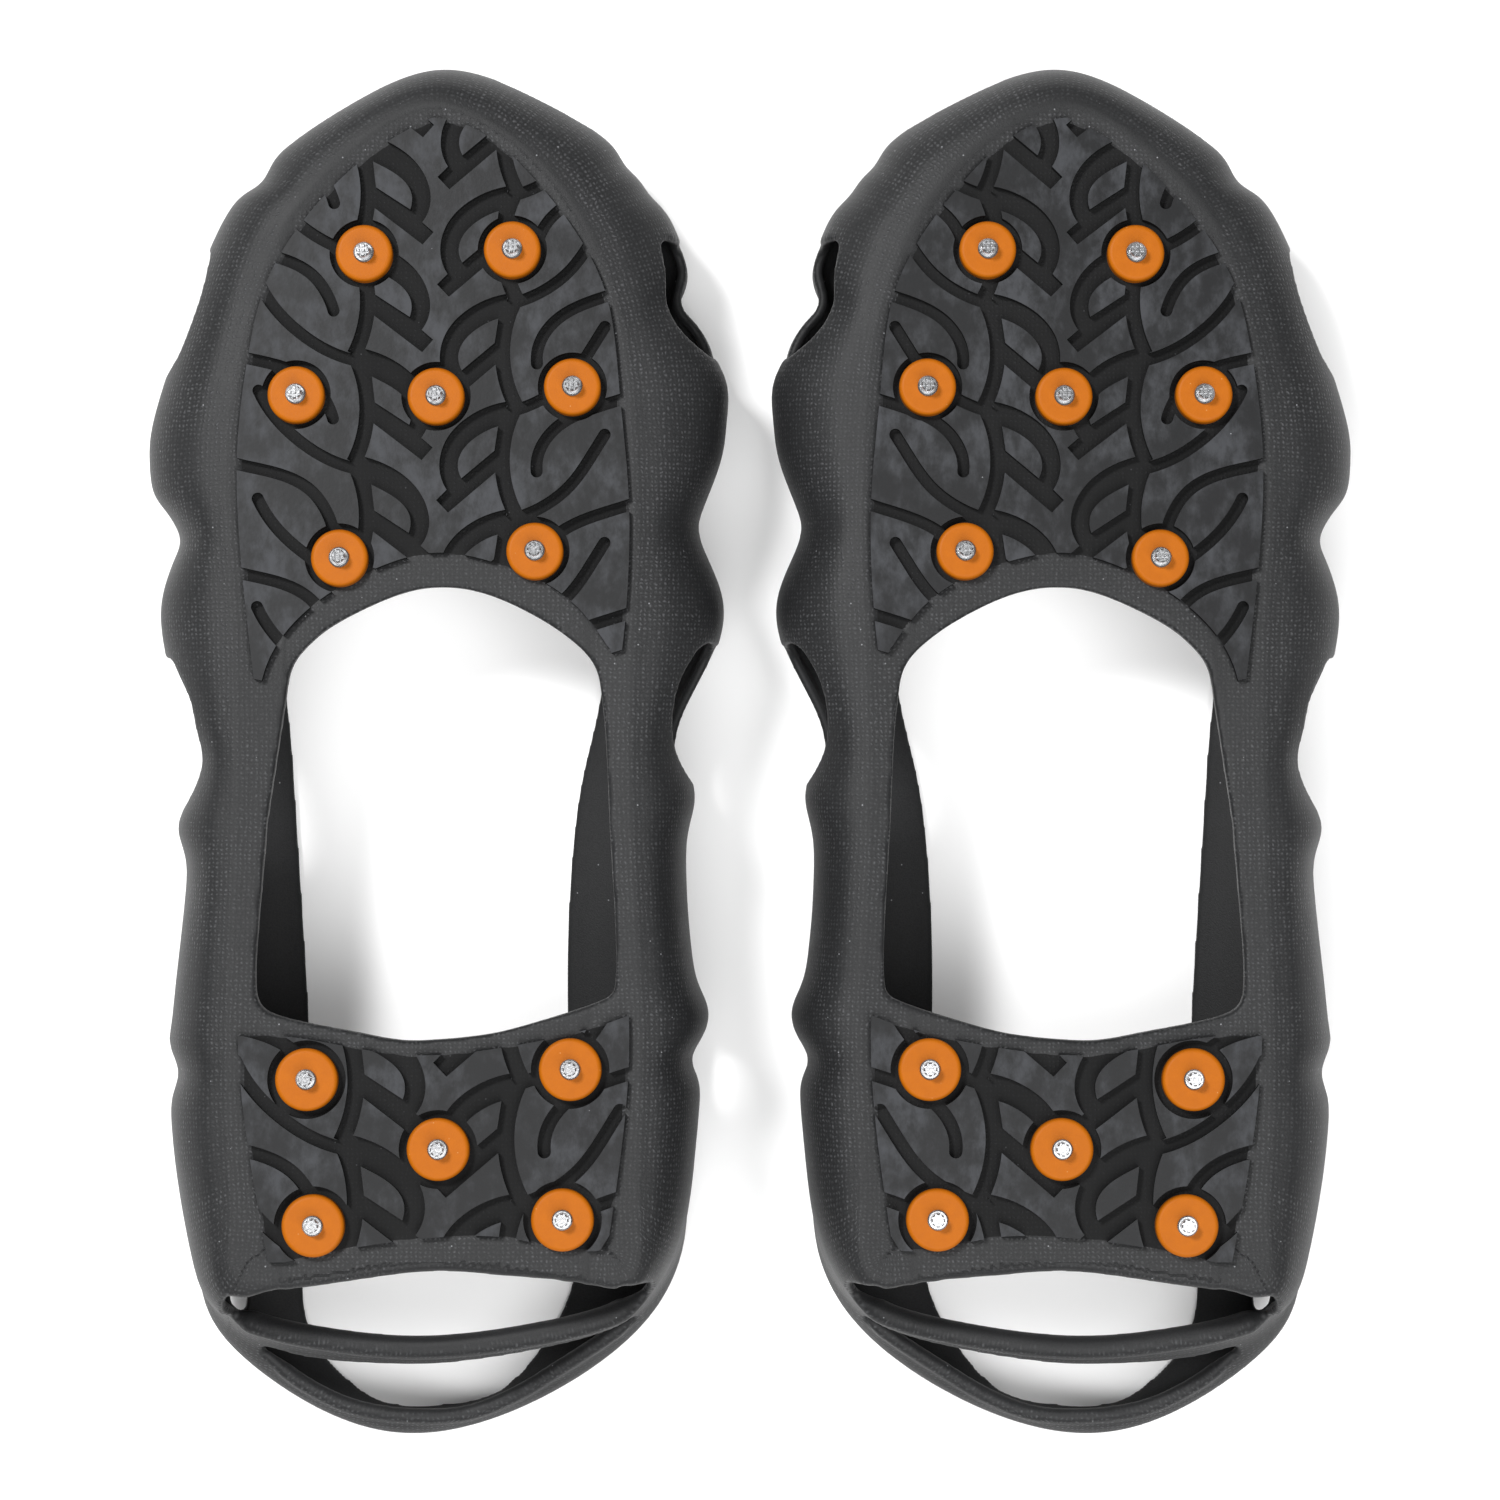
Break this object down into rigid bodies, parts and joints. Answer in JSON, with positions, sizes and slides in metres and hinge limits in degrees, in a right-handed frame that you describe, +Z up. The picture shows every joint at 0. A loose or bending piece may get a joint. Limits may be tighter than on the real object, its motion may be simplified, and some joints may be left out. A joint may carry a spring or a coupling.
{
  "type": "shoe ice cleats",
  "caption": "Pair of stretch rubber overshoe ice cleats with treaded forefoot and heel webs, steel-tipped studs, an open arch, side windows and a heel loop.",
  "frame": {"origin": "on the floor midway between the two cleats and midway along their length, under the rims", "axes": "+Y to the toes, +X from the left-hand cleat of the picture to the right-hand one, +Z up through the soles; the cleats lie sole up, rim down"},
  "size_m": [0.2324, 0.2678, 0.056],
  "materials": {
    "harness_rubber": "matt black moulded rubber with a fine woven grain",
    "tread_rubber": "smooth dark grey rubber lugs, slightly scuffed",
    "stud_plastic": "satin orange",
    "stud_steel": "bright machined steel"
  },
  "bodies": {
    "left_forefoot": {"left_forefoot_harness": "harness_rubber", "left_outer_rail": "harness_rubber", "left_inner_rail": "harness_rubber", "left_forefoot_tread": "tread_rubber", "left_forefoot_stud_1_base": "stud_plastic", "left_forefoot_stud_1_pin": "stud_steel", "left_forefoot_stud_2_base": "stud_plastic", "left_forefoot_stud_2_pin": "stud_steel", "left_forefoot_stud_3_base": "stud_plastic", "left_forefoot_stud_3_pin": "stud_steel", "left_forefoot_stud_4_base": "stud_plastic", "left_forefoot_stud_4_pin": "stud_steel", "left_forefoot_stud_5_base": "stud_plastic", "left_forefoot_stud_5_pin": "stud_steel", "left_forefoot_stud_6_base": "stud_plastic", "left_forefoot_stud_6_pin": "stud_steel", "left_forefoot_stud_7_base": "stud_plastic", "left_forefoot_stud_7_pin": "stud_steel"},
    "left_heel": {"left_heel_harness": "harness_rubber", "left_heel_tread": "tread_rubber", "left_heel_stud_1_base": "stud_plastic", "left_heel_stud_1_pin": "stud_steel", "left_heel_stud_2_base": "stud_plastic", "left_heel_stud_2_pin": "stud_steel", "left_heel_stud_3_base": "stud_plastic", "left_heel_stud_3_pin": "stud_steel", "left_heel_stud_4_base": "stud_plastic", "left_heel_stud_4_pin": "stud_steel", "left_heel_stud_5_base": "stud_plastic", "left_heel_stud_5_pin": "stud_steel"},
    "right_forefoot": {"right_forefoot_harness": "harness_rubber", "right_outer_rail": "harness_rubber", "right_inner_rail": "harness_rubber", "right_forefoot_tread": "tread_rubber", "right_forefoot_stud_1_base": "stud_plastic", "right_forefoot_stud_1_pin": "stud_steel", "right_forefoot_stud_2_base": "stud_plastic", "right_forefoot_stud_2_pin": "stud_steel", "right_forefoot_stud_3_base": "stud_plastic", "right_forefoot_stud_3_pin": "stud_steel", "right_forefoot_stud_4_base": "stud_plastic", "right_forefoot_stud_4_pin": "stud_steel", "right_forefoot_stud_5_base": "stud_plastic", "right_forefoot_stud_5_pin": "stud_steel", "right_forefoot_stud_6_base": "stud_plastic", "right_forefoot_stud_6_pin": "stud_steel", "right_forefoot_stud_7_base": "stud_plastic", "right_forefoot_stud_7_pin": "stud_steel"},
    "right_heel": {"right_heel_harness": "harness_rubber", "right_heel_tread": "tread_rubber", "right_heel_stud_1_base": "stud_plastic", "right_heel_stud_1_pin": "stud_steel", "right_heel_stud_2_base": "stud_plastic", "right_heel_stud_2_pin": "stud_steel", "right_heel_stud_3_base": "stud_plastic", "right_heel_stud_3_pin": "stud_steel", "right_heel_stud_4_base": "stud_plastic", "right_heel_stud_4_pin": "stud_steel", "right_heel_stud_5_base": "stud_plastic", "right_heel_stud_5_pin": "stud_steel"}
  },
  "joints": [
    {"name": "left_stretch", "type": "slide", "parent": "left_forefoot", "child": "left_heel", "axis": [0, -1, 0], "range_m": [0, 0.03], "stiffness_N_per_m": 1000, "deforming": ["left_outer_rail", "left_inner_rail"]},
    {"name": "right_stretch", "type": "slide", "parent": "right_forefoot", "child": "right_heel", "axis": [0, -1, 0], "range_m": [0, 0.03], "stiffness_N_per_m": 1000, "deforming": ["right_outer_rail", "right_inner_rail"]},
    {"name": "pair_spread", "type": "slide", "parent": "left_forefoot", "child": "right_forefoot", "axis": [1, 0, 0], "range_m": [0, 0.05]}
  ]
}
